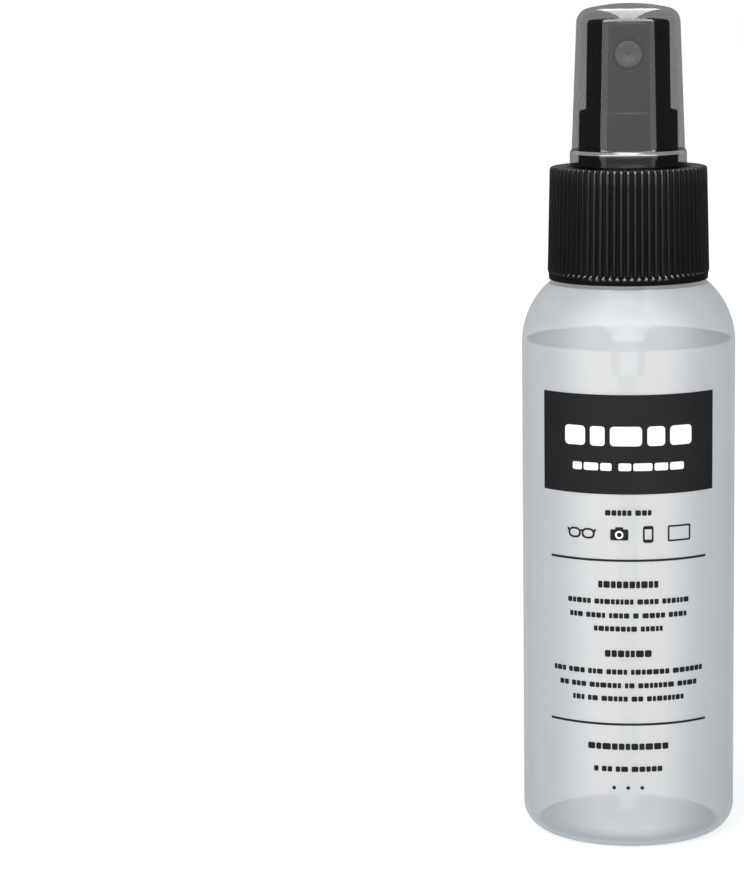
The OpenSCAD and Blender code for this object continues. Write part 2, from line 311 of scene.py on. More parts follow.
M_CAP = moulded("overcap_smoke", (0.010, 0.010, 0.0103), (0.012, 0.012, 0.0123), (0.02, 0.035), 130.0, 0.001, alpha=0.55, spec=0.9)[0]
M_CAP_IN = moulded("overcap_smoke_inner", (0.010, 0.010, 0.0103), (0.012, 0.012, 0.0123), (0.02, 0.035), 130.0, 0.001, alpha=0.06, spec=0.5)[0]
# painted highlight: a lighter, less clear grey copy of the smoke for the rounded flange edge, standing in for the ring
# of light it catches
M_CAP_EDGE_HIGHLIGHT = moulded("overcap_smoke_edge_highlight", (0.27, 0.275, 0.28), (0.31, 0.315, 0.32), (0.08, 0.12), 130.0, 0.001, alpha=0.85, spec=1.0)[0]
M_INK = moulded("print_black", (0.008, 0.008, 0.0095), (0.011, 0.011, 0.0125), (0.60, 0.70), 1500.0, 0.002, spec=0.15)[0]
M_WHITE = moulded("print_white", (0.88, 0.89, 0.90), (0.92, 0.93, 0.94), (0.60, 0.70), 1500.0, 0.002, spec=0.15)[0]
M_NATURAL = moulded("natural_polypropylene", (0.78, 0.79, 0.78), (0.84, 0.85, 0.84), (0.32, 0.45), 600.0, 0.005)[0]
M_HOUSING_GLOW, nt, b = moulded("housing_polypropylene", (0.84, 0.85, 0.86), (0.88, 0.89, 0.90), (0.40, 0.50), 600.0, 0.004, alpha=0.25, spec=0.1)
# painted light: the housing glows though it is no lamp, so it reads as bright as the lit milky inside of the bottle
# round it
b.inputs["Emission Color"].default_value = (0.96, 0.98, 1.0, 1.0)
b.inputs["Emission Strength"].default_value = 0.42
M_ACETAL = moulded("valve_acetal", (0.80, 0.81, 0.82), (0.86, 0.87, 0.88), (0.25, 0.35), 600.0, 0.004)[0]
M_PISTON = moulded("piston_polyethylene", (0.84, 0.84, 0.82), (0.89, 0.89, 0.87), (0.38, 0.5), 600.0, 0.004)[0]
M_TUBE_GLOW, nt, b = moulded("tube_polyethylene", (0.90, 0.91, 0.92), (0.94, 0.95, 0.96), (0.35, 0.45), 400.0, 0.005, alpha=0.60, spec=0.1)
# the tube glows a little: painted light, emission though it is no lamp, so that seen through the milky wall it reads as
# bright as what lies round it
b.inputs["Emission Color"].default_value = (0.95, 0.97, 1.0, 1)
b.inputs["Emission Strength"].default_value = 0.14
M_GASKET = moulded("gasket_foam", (0.80, 0.81, 0.82), (0.87, 0.88, 0.89), (0.75, 0.9), 1400.0, 0.03)[0]


def steel(name, tint):
    m, nt, b = new_mat(name)
    v = coords(nt, (1, 1, 6))
    g = noise(nt, v, 1500.0, 4.0)
    nt.links.new(ramp(nt, g, [(0.3, tuple(c * 0.92 for c in tint)), (0.7, tint)]), b.inputs["Base Color"])
    nt.links.new(spread(nt, g, 0.16, 0.30), b.inputs["Roughness"])
    bump(nt, b, g, 0.2, 0.002 * MM)
    b.inputs["Metallic"].default_value = 1.0
    return m


M_SPRING = steel("spring_stainless", (0.66, 0.67, 0.69))
M_BALL = steel("ball_stainless", (0.72, 0.73, 0.74))


def dress(ob, *mats):
    kept = [p.material_index for p in ob.data.polygons]
    ob.data.materials.clear()
    for m in mats:
        ob.data.materials.append(m)
    if len(mats) > 1:
        for p, k in zip(ob.data.polygons, kept):
            p.material_index = k


# ---------------------------------------------------------------- bottle
cs = R - SHOULDER
dome_x = R - HEEL - 2.5
dome_r = (dome_x**2 + 2.2**2) / 4.4
dome_c = 2.2 - dome_r
land_x = cs + math.sqrt(SHOULDER**2 - (LAND - BODY_H) ** 2)
a_land = math.degrees(math.asin((LAND - BODY_H) / SHOULDER))

under = [
    (dome_r * math.sin(t), dome_c + dome_r * math.cos(t))
    for t in [math.asin(dome_x / dome_r) * i / 16 for i in range(17)]
]
inner_land = LAND - 1.2
a_in = math.degrees(math.asin((inner_land - BODY_H) / (SHOULDER - WALL)))
in_land_x = cs + math.sqrt((SHOULDER - WALL) ** 2 - (inner_land - BODY_H) ** 2)
ri = dome_r + 1.0
x_flat = math.sqrt(ri**2 - (WALL - dome_c) ** 2)
floor_in = [
    (ri * math.sin(t), dome_c + ri * math.cos(t))
    for t in [math.asin(x_flat / ri) * i / 16 for i in range(16, -1, -1)]
]

outer = (
    under
    + line((dome_x, 0.0), (R - HEEL, 0.0), 2)
    + arc(R - HEEL, HEEL, HEEL, -90, 0, 24)
    + line((R, HEEL), (R, BODY_H), 24)
    + arc(cs, BODY_H, SHOULDER, 0, a_land, 28)
    + [(land_x - 0.12, LAND)]
    + arc(12.6 + 1.0, LAND + 1.0, 1.0, -90, -180, 10)
    + line((12.6, LAND + 1.0), (12.6, NZ - 0.3), 6)
    + arc(12.3, NZ - 0.3, 0.3, 0, 90, 6)
)
inner = (
    arc(BORE + 0.25, NZ - 0.25, 0.25, 90, 180, 5)
    + line((BORE, NZ - 0.25), (BORE, inner_land + 0.4), 4)
    + arc(BORE + 0.4, inner_land + 0.4, 0.4, 180, 270, 5)
    + arc(cs, BODY_H, SHOULDER - WALL, a_in, 0, 28)
    + line((R - WALL, BODY_H), (R - WALL, HEEL), 12)
    + arc(R - HEEL, HEEL, HEEL - WALL, 0, -90, 20)
    + floor_in
)
n_outer = len(clean(outer))
bottle = lathe("bottle_shell", outer + inner, 224)
# the faces of the inside take the second material
for p in bottle.data.polygons:
    c = p.center
    r = math.hypot(c.x, c.y) / MM
    z = c.z / MM
    nrm = p.normal
    radial = (nrm.x * c.x + nrm.y * c.y) / max(1e-9, math.hypot(c.x, c.y))
    inside = False
    if r < R - WALL * 0.5 and HEEL < z < BODY_H:
        inside = True
    elif z >= BODY_H and z < LAND - 0.3 and math.hypot(r - cs, z - BODY_H) < SHOULDER - WALL * 0.5:
        inside = True
    elif z >= LAND - 1.5 and r < 11.0:
        inside = True
    elif z <= HEEL and r >= R - HEEL and math.hypot(r - (R - HEEL), z - HEEL) < HEEL - WALL * 0.5:
        inside = True
    elif z <= HEEL and r < R - HEEL and nrm.z > 0.3:
        inside = True
    p.material_index = 1 if inside else 0
dress(bottle, M_OUTER, M_INNER)
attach(bottle, "bottle_body")
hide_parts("bottle")

thread = helix("bottle_neck_thread", 12.2, 13.8, 2.7, 1.0, NZ - 2.5 - 1.5 * PITCH, 1.5)
dress(thread, M_OUTER)
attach(thread, "bottle_body")

# liquid: one closed body, its free surface curling up a little at the wall
g = 0.03
rl = R - WALL - g
liq = (
    [(1.82, 4.0)]
    + [
        (x, dome_c + math.sqrt((ri + g) ** 2 - x**2))
        for x in [1.82 + (x_flat - 1.82) * i / 12 for i in range(13)]
    ]
    + arc(R - HEEL, HEEL, HEEL - WALL - g, -90, 0, 20)
    + line((rl, HEEL), (rl, BODY_H), 12)
    + [(rl - 0.006, FILL + 0.35), (rl - 0.10, FILL + 0.28), (rl - 0.35, FILL + 0.12), (rl - 0.9, FILL + 0.02), (rl - 1.8, FILL)]
    + line((rl - 1.8, FILL), (3.32, FILL), 6)
    + [(3.32, 89.3), (1.82, 89.3)]
)
fluid = lathe("cleaning_liquid", liq[1:], 192, loop=True, sharp=60)
# the free surface and the floor face take the dark blue material: painted shade for the liquid line and the floor
# ellipse, partly the liquid's own tint
for p in fluid.data.polygons:
    z = p.center.z / MM
    r = math.hypot(p.center.x, p.center.y) / MM
    top = z > FILL - 1 and p.normal.z > 0.6 and r > 3.35
    bottom = z < 4.0 and p.normal.z < -0.6 and 1.9 < r < 17.4
    p.material_index = 0 if top or bottom else 1
dress(fluid, M_SURF_SHADE, M_SIDE)
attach(fluid, "bottle_body")
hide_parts("cleaning_fluid")


# ---------------------------------------------------------------- print, wrapped on the body
class Print:
    """Thin closed marks laid on the cylinder. s is millimetres round from the front, to the right."""

    def __init__(self, r0, r1):
        self.bm = bmesh.new()
        self.r0, self.r1 = r0, r1

    def at(self, s, z, r):
        a = s / R - math.pi / 2
        return (r * math.cos(a) * MM, r * math.sin(a) * MM, z * MM)

    def strip(self, cols, closed=False):
        """cols is a list of ((s, z) low, (s, z) high); a solid strip through them."""
        bm = self.bm
        v = []
        for lo, hi in cols:
            v.append(
                [
                    bm.verts.new(self.at(*lo, self.r0)),
                    bm.verts.new(self.at(*hi, self.r0)),
                    bm.verts.new(self.at(*hi, self.r1)),
                    bm.verts.new(self.at(*lo, self.r1)),
                ]
            )
        n = len(v)
        for i in range(n if closed else n - 1):
            a, b = v[i], v[(i + 1) % n]
            for j in range(4):
                k = (j + 1) % 4
                bm.faces.new((a[j], a[k], b[k], b[j]))
        if not closed:
            bm.faces.new(v[0])
            bm.faces.new(v[-1])

    def bar(self, s0, s1, z, h, rnd=1.0):
        """A bar of height h with ends rounded by rnd times half its height."""
        q = rnd * h / 2
        cols = []
        ends = 6
        xs = []
        for i in range(ends + 1):
            a = math.pi / 2 * i / ends
            xs.append((s0 + q - q * math.cos(a), (h / 2 - q) + q * max(0.12, math.sin(a))))
        n = max(1, int((s1 - s0 - 2 * q) / 0.8))
        for i in range(1, n):
            xs.append((s0 + q + (s1 - s0 - 2 * q) * i / n, h / 2))
        for i in range(ends, -1, -1):
            a = math.pi / 2 * i / ends
            xs.append((s1 - q + q * math.cos(a), (h / 2 - q) + q * max(0.12, math.sin(a))))
        for s, hh in xs:
            cols.append(((s, z - hh), (s, z + hh)))
        self.strip(cols)

    def bar2(self, s0, s1, z0, z1, rnd=0.5):
        """A block from z0 to z1 with its corners rounded by rnd times half its smaller side."""
        h = z1 - z0
        q = rnd * min(h, s1 - s0) / 2
        zc = (z0 + z1) / 2
        xs = []
        for i in range(5):
            a = math.pi / 2 * i / 4
            xs.append((s0 + q - q * math.cos(a), h / 2 - q + q * math.sin(a)))
        n = max(1, int((s1 - s0 - 2 * q) / 0.8))
        for i in range(1, n):
            xs.append((s0 + q + (s1 - s0 - 2 * q) * i / n, h / 2))
        for i in range(4, -1, -1):
            a = math.pi / 2 * i / 4
            xs.append((s1 - q + q * math.cos(a), h / 2 - q + q * math.sin(a)))
        self.strip([((s, zc - hh), (s, zc + hh)) for s, hh in xs])

    def disc(self, s, z, r):
        cols = []
        for i in range(17):
            a = math.pi * (0.04 + 0.92 * i / 16)
            x, h = -r * math.cos(a), r * math.sin(a)
            cols.append(((s + x, z - h), (s + x, z + h)))
        self.strip(cols)

    def loop(self, pts, w):
        """A closed stroke of width w along points."""
        n = len(pts)
        cols = []
        for i in range(n):
            p, q, r = pts[i - 1], pts[i], pts[(i + 1) % n]
            d = Vector((r[0] - p[0], r[1] - p[1])).normalized()
            nx, nz = -d.y, d.x
            cols.append(((q[0] - nx * w / 2, q[1] - nz * w / 2), (q[0] + nx * w / 2, q[1] + nz * w / 2)))
        self.strip(cols, closed=True)

    def stroke(self, pts, w):
        n = len(pts)
        cols = []
        for i in range(n):
            p, r = pts[max(0, i - 1)], pts[min(n - 1, i + 1)]
            q = pts[i]
            d = Vector((r[0] - p[0], r[1] - p[1])).normalized()
            nx, nz = -d.y, d.x
            cols.append(((q[0] - nx * w / 2, q[1] - nz * w / 2), (q[0] + nx * w / 2, q[1] + nz * w / 2)))
        self.strip(cols)

    def block(self, s0, s1, z0, z1, step=0.8):
        n = max(1, int((s1 - s0) / step))
        self.strip([((s0 + (s1 - s0) * i / n, z0), (s0 + (s1 - s0) * i / n, z1)) for i in range(n + 1)])

    def done(self, name):
        return finish_mesh(self.bm, name, 30)


def rounded(s0, s1, z0, z1, r, n=5):
    pts = []
    for cx, cz, a0 in ((s1 - r, z0 + r, -90), (s1 - r, z1 - r, 0), (s0 + r, z1 - r, 90), (s0 + r, z0 + r, 180)):
        for i in range(n + 1):
            a = math.radians(a0 + 90 * i / n)
            pts.append((cx + r * math.cos(a), cz + r * math.sin(a)))
    # fill the long sides so that they follow the curve of the bottle
    out = []
    for i, p in enumerate(pts):
        q = pts[(i + 1) % len(pts)]
        out.append(p)
        d = math.dist(p, q)
        k = int(d / 0.7)
        for j in range(1, k):
            out.append((p[0] + (q[0] - p[0]) * j / k, p[1] + (q[1] - p[1]) * j / k))
    return out


def words(pr, z, h, half, lengths, gap=0.62):
    """Word-length bars filling a line of that half width."""
    total = 2 * half - gap * (len(lengths) - 1)
    unit = total / sum(lengths)
    s = -half
    for w in lengths:
        pr.bar(s, s + w * unit, z, h, 0.55)
        s += w * unit + gap


panel_half = R * math.radians(101.4 / 2)
panel = Print(R + 0.006, R + 0.065)
panel.block(-panel_half, panel_half, 69.4, 88.3, 0.45)
panel = panel.done("printed_panel")
dress(panel, M_INK)
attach(panel, "bottle_body")
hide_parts("label_panel")

# the white title is a plain row of blocks, a smaller row below it
wm = Print(R + 0.055, R + 0.085)


def word(pr, s0, z, w, h, pattern, gap=0.22, rnd=0.5):
    """A greeked word: small plain blocks, some a little taller or lower than the rest."""
    total = sum(q[0] for q in pattern)
    unit = (w - gap * (len(pattern) - 1)) / total
    s = s0
    for q, up, down in pattern:
        pr.bar2(s, s + q * unit, z - h * down, z + h * (1 + up), rnd)
        s += q * unit + gap


SHAPES = ((1.0, 0.0, 0.0), (1.3, 0.0, 0.0), (0.8, 0.0, 0.0), (1.1, 0.0, 0.0), (1.5, 0.0, 0.0), (0.9, 0.0, 0.0), (1.2, 0.0, 0.0))


def text_line(pr, z, half, counts, h, gap=0.2, space=0.75, start=0, rnd=0.45):
    """Words of that many blocks, centred, filling the line's half width. z is the foot of the line."""
    pats = []
    k = start
    for c in counts:
        pats.append([SHAPES[(k + 3 * i + (i * i) % 5) % len(SHAPES)] for i in range(c)])
        k += c + 2
    units = sum(q[0] for p in pats for q in p)
    gaps = gap * sum(c - 1 for c in counts) + space * (len(counts) - 1)
    unit = (2 * half - gaps) / units
    s = -half
    for p in pats:
        w = unit * sum(q[0] for q in p) + gap * (len(p) - 1)
        word(pr, s, z, w, h, p, gap, rnd)
        s += w + space


word(wm, -12.6, 78.6, 25.2, 3.7, [(1.5, 0, 0), (1.0, 0, 0), (2.1, 0, 0), (1.2, 0, 0), (1.6, 0, 0)], 1.0, 0.4)
text_line(wm, 73.9, 10.9, [3, 4], 1.45, 0.4, 1.3, 2, 0.45)
wm = wm.done("panel_marks")
dress(wm, M_WHITE)
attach(wm, "bottle_body")

bk = Print(R + 0.006, R + 0.045)
text_line(bk, 65.35, 4.4, [5, 3], 1.05, 0.18, 0.7, 4)
# spectacles
iz = 61.75
for sgn in (-1, 1):
    cx = -9.16 + sgn * 1.42
    pts = []
    for i in range(28):
        a = 2 * math.pi * i / 28
        pts.append((cx + 1.14 * math.copysign(abs(math.cos(a)) ** 0.8, math.cos(a)), iz + 0.84 * math.copysign(abs(math.sin(a)) ** 0.8, math.sin(a))))
    bk.loop(pts, 0.38)
bk.stroke([(-9.5, iz + 0.40), (-9.16, iz + 0.52), (-8.82, iz + 0.40)], 0.36)
bk.stroke([(-11.7, iz + 0.28), (-11.98, iz + 0.66), (-12.0, iz + 0.9)], 0.36)
bk.stroke([(-6.62, iz + 0.28), (-6.34, iz + 0.66), (-6.32, iz + 0.9)], 0.36)
# camera: a dark body with a pale ring for its lens
cxm = -1.69
bk.bar2(cxm - 1.72, cxm + 1.72, iz - 1.12, iz + 1.0, 0.3)
bk.block(cxm - 0.75, cxm + 0.75, iz + 1.0, iz + 1.4, 0.35)
# phone
bk.loop(rounded(3.78 - 0.84, 3.78 + 0.84, iz - 1.45, iz + 1.45, 0.3), 0.34)
bk.block(3.78 - 0.72, 3.78 + 0.72, iz + 0.98, iz + 1.34, 0.4)
bk.block(3.78 - 0.72, 3.78 + 0.72, iz - 1.34, iz - 0.98, 0.4)
# tablet
bk.loop(rounded(10.02 - 2.25, 10.02 + 2.25, iz - 1.38, iz + 1.38, 0.14), 0.34)
# rules
for z, hw in ((56.74, 16.2), (25.03, 16.3)):
    bk.bar(-hw, hw, z, 0.44, 0.3)
# two paragraphs, each a heading and word-length rows
text_line(bk, 51.45, 5.74, [10], 1.32, 0.2, 0.7, 0)
text_line(bk, 48.30, 12.06, [5, 8, 4, 6], 1.0, 0.17, 0.72, 1)
text_line(bk, 45.61, 11.61, [3, 4, 4, 1, 4, 4], 1.0, 0.17, 0.72, 5)
text_line(bk, 43.07, 6.6, [8, 5], 1.0, 0.17, 0.72, 7)
text_line(bk, 38.12, 4.45, [7], 1.32, 0.2, 0.7, 3)
text_line(bk, 34.72, 15.4, [3, 3, 3, 4, 7, 6], 1.0, 0.17, 0.72, 2)
text_line(bk, 32.08, 14.0, [2, 3, 6, 2, 7, 4], 1.0, 0.17, 0.72, 6)
text_line(bk, 29.50, 11.0, [3, 2, 5, 2, 8], 1.0, 0.17, 0.72, 9)
text_line(bk, 20.05, 7.8, [11], 1.25, 0.2, 0.7, 8)
text_line(bk, 15.75, 6.6, [1, 2, 2, 5], 1.05, 0.18, 0.66, 0)
for s_ in (-2.67, 0.0, 2.67):
    bk.disc(s_, 12.62, 0.36)
bk = bk.done("print_marks")
dress(bk, M_INK)
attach(bk, "bottle_body")

# pale lens ring on the camera pictogram
cr_ = Print(R + 0.035, R + 0.055)
cr_.loop([(cxm + 0.62 * math.cos(2 * math.pi * i / 24), iz - 0.06 + 0.62 * math.sin(2 * math.pi * i / 24)) for i in range(24)], 0.32)
cr_ = cr_.done("camera_ring")
dress(cr_, M_WHITE)
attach(cr_, "bottle_body")


# ---------------------------------------------------------------- closure with its ribs
RIB = ((0.0, 0.0), (0.12, 0.004), (0.15, 0.018), (0.17, 0.055), (0.178, 0.10), (0.25, 0.66), (0.27, 0.72), (0.38, 0.88), (0.48, 0.995), (0.5, 1.0))


def rib_rows():
    """Places round one rib spacing and how deep the groove is there: flat crest, steep sides, V floor."""
    right = list(RIB)
    left = [(1.0 - u, d) for u, d in reversed(RIB[1:-1])]
    return right + left


CL = LAND + 0.7
CT = NZ + 4.7


def closure_mesh():
    ribs = 72
    prof = rib_rows()
    per = len(prof)
    n = ribs * per
    z_lo, z_hi = CL + 1.95, CT - 0.5

    def crest(z):
        return 15.50 + (15.06 - 15.50) * (z - z_lo) / (z_hi - z_lo)

    rows = [
        (CL, 14.72, 14.72),
        (CL, 14.98, 14.98),
        (CL + 0.04, 15.12, 15.12),
        (CL + 0.14, 15.22, 15.22),
        (CL + 0.28, 15.26, 15.26),
        (CL + 1.10, 15.31, 15.31),
        (CL + 1.24, 15.30, 15.28),
        (CL + 1.38, 15.36, 15.17),
        (CL + 1.52, 15.43, 15.03),
        (CL + 1.66, 15.48, 14.88),
        (CL + 1.80, 15.50, 14.75),
        (z_lo, 15.50, 14.68),
    ]
    for i in range(1, 9):
        z = z_lo + (z_hi - z_lo) * i / 8
        rows.append((z, crest(z), crest(z) - 0.82 + 0.20 * i / 8))
    rows += [
        (CT - 0.38, 15.02, 14.40),
        (CT - 0.24, 14.94, 14.40),
        (CT - 0.12, 14.82, 14.40),
        (CT - 0.04, 14.68, 14.40),
        (CT - 0.005, 14.54, 14.36),
        (CT, 14.30, 14.30),
        (CT, 11.8, 11.8),
        (CT, 9.95, 9.95),
        (CT - 0.05, 9.78, 9.78),
        (CT - 0.16, 9.66, 9.66),
        (CT - 0.30, 9.63, 9.63),
        (NZ + 3.3, 9.63, 9.63),
        (NZ + 3.3, 12.0, 12.0),
        (NZ + 3.0, 12.3, 12.3),
        (NZ + 0.6, 12.3, 12.3),
        (NZ + 0.4, 12.5, 12.5),
        (NZ + 0.4, 13.8, 13.8),
        (NZ + 0.2, 14.0, 14.0),
        (CL + 6.0, 14.0, 14.0),
        (CL + 0.5, 14.0, 14.0),
        (CL + 0.12, 14.40, 14.40),
    ]
    bm = bmesh.new()
    grid = []
    for z, rc, rr in rows:
        ring = []
        for k in range(n):
            u, d = prof[k % per]
            f = d if rc != rr else 0.0
            r = rc + (rr - rc) * f
            a = 2 * math.pi * (k // per + u) / ribs + math.pi / 2
            ring.append(bm.verts.new((r * math.cos(a) * MM, r * math.sin(a) * MM, z * MM)))
        grid.append(ring)
    m = len(grid)
    for i in range(m):
        a, b = grid[i], grid[(i + 1) % m]
        for k in range(n):
            k2 = (k + 1) % n
            f = bm.faces.new((a[k], a[k2], b[k2], b[k]))
            u = (prof[k % per][0] + (prof[k2 % per][0] if k2 % per else 1.0)) / 2
            groove = 0.178 < u < 0.822 and 10 <= i <= 25
            f.material_index = 1 if groove else 0
    return finish_mesh(bm, "closure_ribbed", 48)


closure = closure_mesh()
dress(closure, M_CLOSURE, M_GROOVE)
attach(closure, "closure_body")
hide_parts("closure")
cthread = helix("closure_thread", 14.2, 12.88, 2.0, 0.8, NZ - 2.5 - 1.5 * PITCH - PITCH / 2, 1.25)
dress(cthread, M_CLOSURE)
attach(cthread, "closure_body")

# ---------------------------------------------------------------- collar
ct = NZ + 15.4
collar = lathe(
    "spray_collar",
    [(2.35, NZ - 4.9), (2.55, NZ - 5.1), (4.25, NZ - 5.1), (4.45, NZ - 4.9), (4.45, NZ + 2.4), (5.6, NZ + 2.4)]
    + arc(5.9, NZ + 4.3, 0.3, 180, 90, 4)
    + arc(8.1, NZ + 4.3, 0.3, 90, 0, 4)
    + [(8.4, NZ + 2.4), (9.35, NZ + 2.4), (9.55, NZ + 2.6), (9.55, NZ + 4.8)]
    + [(10.2, NZ + 4.8)]
    + arc(10.2, NZ + 5.0, 0.2, -90, 90, 6)
    + [(9.8, NZ + 5.22)]
    + arc(9.8, NZ + 5.52, 0.3, 270, 180, 4)
    + line((9.49, NZ + 6.0), (9.37, ct - 0.50), 8)
    + arc(8.87, ct - 0.50, 0.50, 0, 90, 10)
    + arc(8.55, ct - 0.15, 0.15, 90, 180, 4)
    + line((8.4, ct - 0.2), (8.4, NZ + 6.5), 6)
    + arc(7.9, NZ + 6.5, 0.5, 0, -90, 5)
    + [(2.75, NZ + 6.0), (2.35, NZ + 5.6)],
    192,
    loop=True,
)
dress(collar, M_COLLAR)
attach(collar, "pump_unit")
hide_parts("collar")

# ---------------------------------------------------------------- spray head
HT = NZ + 32.8
NOZ = NZ + 26.2


def hr(z):
    return 8.06 - 0.0155 * (z - (NZ + 16.3))


sk = NZ + 6.0 + 4.6
er, drop = 0.8, 1.15
rt = hr(HT - drop)
x1 = rt - er
cr = (x1 * x1 + drop * drop - er * er) / (2 * (drop - er))
a_t = math.degrees(math.atan2(cr - drop, x1))  # where the crown takes over from the edge
crown = [
    (cr * math.sin(t), HT - cr + cr * math.cos(t))
    for t in [math.asin(x1 * cr / (cr - er) / cr) * i / 12 for i in range(12, -1, -1)]
]
# shallow finger dish, blended into the crown
dish = []
for r, z in crown:
    d = max(0.0, 1 - (r / 4.6) ** 2)
    dish.append((r, z - 0.45 * d * d * (3 - 2 * d)))
dish = [(r, z) for r, z in dish if r > 4.7]
fine_top = []
for i in range(20, -1, -1):
    r = 4.7 * i / 20
    z = HT - cr + math.sqrt(cr * cr - r * r)
    d = max(0.0, 1 - (r / 4.6) ** 2)
    fine_top.append((r, z - 0.42 * d * d * (3 - 2 * d)))
head_prof = (
    [(0.0, NOZ), (1.0, NOZ), (1.0, NZ + 21.05), (2.35, NZ + 21.05), (2.35, sk + 0.3), (2.6, sk)]
    + [(3.5, sk), (3.8, sk + 0.3)]
    + line((3.8, sk + 0.5), (3.8, HT - 10.6), 3)
    + arc(4.5, HT - 10.6, 0.7, 180, 90, 5)
    + arc(6.3, HT - 10.6, 0.7, 90, 0, 5)
    + line((7.0, HT - 11.0), (7.1, sk + 0.2), 3)
    + [(7.25, sk), (hr(sk) - 0.2, sk)]
    + arc(hr(sk) - 0.2, sk + 0.2, 0.2, -90, 0, 4)
    + line((hr(sk + 1), sk + 1), (rt, HT - drop), 30)
    + arc(x1, HT - drop, er, 0, a_t, 12)
    + dish[1:]
    + fine_top
)
head = lathe("spray_head", head_prof, 224)


def cut(ob, tool):
    mod = ob.modifiers.new("cut", "BOOLEAN")
    mod.operation = "DIFFERENCE"
    mod.solver = "EXACT"
    mod.object = tool
    dg = bpy.context.evaluated_depsgraph_get()
    me = bpy.data.meshes.new_from_object(ob.evaluated_get(dg))
    ob.modifiers.clear()
    old = ob.data
    ob.data = me
    bpy.data.meshes.remove(old)
    tm = tool.data
    bpy.data.objects.remove(tool)
    bpy.data.meshes.remove(tm)


bore_tool = lathe(
    "tmp_nozzle_bore",
    [(0.0, 4.4), (2.9, 4.4), (2.9, 7.2), (2.93, 7.42), (3.02, 7.62), (3.2, 7.85), (3.6, 8.2), (3.6, 10.0), (0.0, 10.0)],
    96,
    axis="-y",
)
shift(bore_tool, NOZ)
cut(head, bore_tool)
chan = lathe("tmp_channel", [(0.0, 0.0), (0.9, 0.0), (0.9, 6.0), (0.0, 6.0)], 32, axis="-y")
shift(chan, NOZ - 0.02)
cut(head, chan)
bm = bmesh.new()
bm.from_mesh(head.data)
bmesh.ops.remove_doubles(bm, verts=bm.verts, dist=1e-7)
lim = math.radians(34)
for f in bm.faces:
    f.smooth = True
for e in bm.edges:
    e.smooth = not (len(e.link_faces) == 2 and e.calc_face_angle(0.0) > lim)
bm.to_mesh(head.data)
bm.free()
dress(head, M_HEAD)
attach(head, "head")
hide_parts("actuator")

# nozzle insert: a plug with a softly dished face and a fine orifice
face = hr(NOZ) - 0.7
insert = lathe(
    "nozzle_insert_plug",
    [(0.2, 4.9), (0.9, 4.5), (2.6, 4.45), (2.85, 4.7), (2.85, face - 0.42), (2.83, face - 0.37), (2.55, face - 0.06), (2.48, face - 0.015)]
    + [(2.40, face), (1.75, face), (1.5, face - 0.03), (1.2, face - 0.12), (0.8, face - 0.30), (0.45, face - 0.42), (0.27, face - 0.48), (0.2, face - 0.6)],
    96,
    loop=True,
    axis="-y",
    sharp=40,
)
# its bevelled rim and its side take the black groove material: painted shade, standing in for the shadow in the recess
# round the plug
for p in insert.data.polygons:
    c = p.center
    p.material_index = 1 if math.hypot(c.x, c.z) / MM > 2.45 else 0
shift(insert, NOZ)
dress(insert, M_INSERT, M_GROOVE)
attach(insert, "head")
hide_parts("nozzle_insert")

# ---------------------------------------------------------------- overcap
cap_lo = NZ + 4.85
seat = NZ + 5.3
wz = cap_lo + 3.05
cap_top = NZ + 35.6
CROWN_D = 3.7
cz = cap_top - CROWN_D
cc = 2.9
cx = 9.9 - cc
crr = (cx * cx + CROWN_D**2 - cc * cc) / (2 * (CROWN_D - cc))
ang = math.degrees(math.atan2(crr - CROWN_D, cx))


def crown_pts(rad, top_c, r_to, n):
    tmax = math.asin(r_to / rad)
    return [(rad * math.sin(tmax * i / n), top_c + rad * math.cos(tmax * i / n)) for i in range(n, -1, -1)]


def wall_r(z):
    return 10.83 + (9.9 - 10.83) * (z - wz) / (cz - wz)


top_c = cap_top - crr
cap_prof = (
    # inside, from the crown down
    crown_pts(crr - 1.0, top_c, cx * (crr - 1.0) / (crr - cc), 20)[::-1]
    + arc(cx, cz, cc - 1.0, ang, 0, 12)
    + line((wall_r(cz) - 1.0, cz), (wall_r(wz + 0.6) - 1.0, wz + 0.6), 20)
    + [(9.83, wz), (9.83, seat + 0.05), (9.88, seat), (10.45, seat), (10.5, seat - 0.05), (10.5, cap_lo + 0.08), (10.58, cap_lo)]
    # outside, from the flange up
    + arc(11.2 - 0.18, cap_lo + 0.18, 0.18, -90, 0, 5)
    + line((11.2, cap_lo + 0.3), (11.2, wz - 0.78), 3)
    + [(11.19, wz - 0.66), (11.165, wz - 0.53), (11.125, wz - 0.40), (11.075, wz - 0.28), (11.015, wz - 0.17), (10.95, wz - 0.07), (10.88, wz + 0.01)]
    + line((wall_r(wz + 0.15), wz + 0.15), (wall_r(cz), cz), 24)
    + arc(cx, cz, cc, 0, ang, 18)
    + crown_pts(crr, top_c, cx * crr / (crr - cc), 24)
)
overcap = lathe("domed_overcap", cap_prof, 224)
for p in overcap.data.polygons:
    c = p.center
    r = math.hypot(c.x, c.y)
    z = c.z / MM
    out_r = (p.normal.x * c.x + p.normal.y * c.y) / max(1e-9, r)
    r /= MM
    inside = (z < cz and z > wz and r < wall_r(z) - 0.5) or (z >= cz and (math.hypot(max(0.0, r - cx), z - cz) < cc - 0.5 if r > cx else z < cap_top - 0.5 and p.normal.z < 0))
    p.material_index = 1 if inside or (z <= wz and r < 10.55 and out_r < 0.2) else 0
    # the rounded edge of the flange takes the lighter grey all the way round: a painted highlight ring, on top of the
    # real reflection of the lamps
    if wz - 0.70 < z < wz + 0.02 and r > 10.86:
        p.material_index = 2
dress(overcap, M_CAP, M_CAP_IN, M_CAP_EDGE_HIGHLIGHT)
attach(overcap, "overcap_body")
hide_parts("overcap")
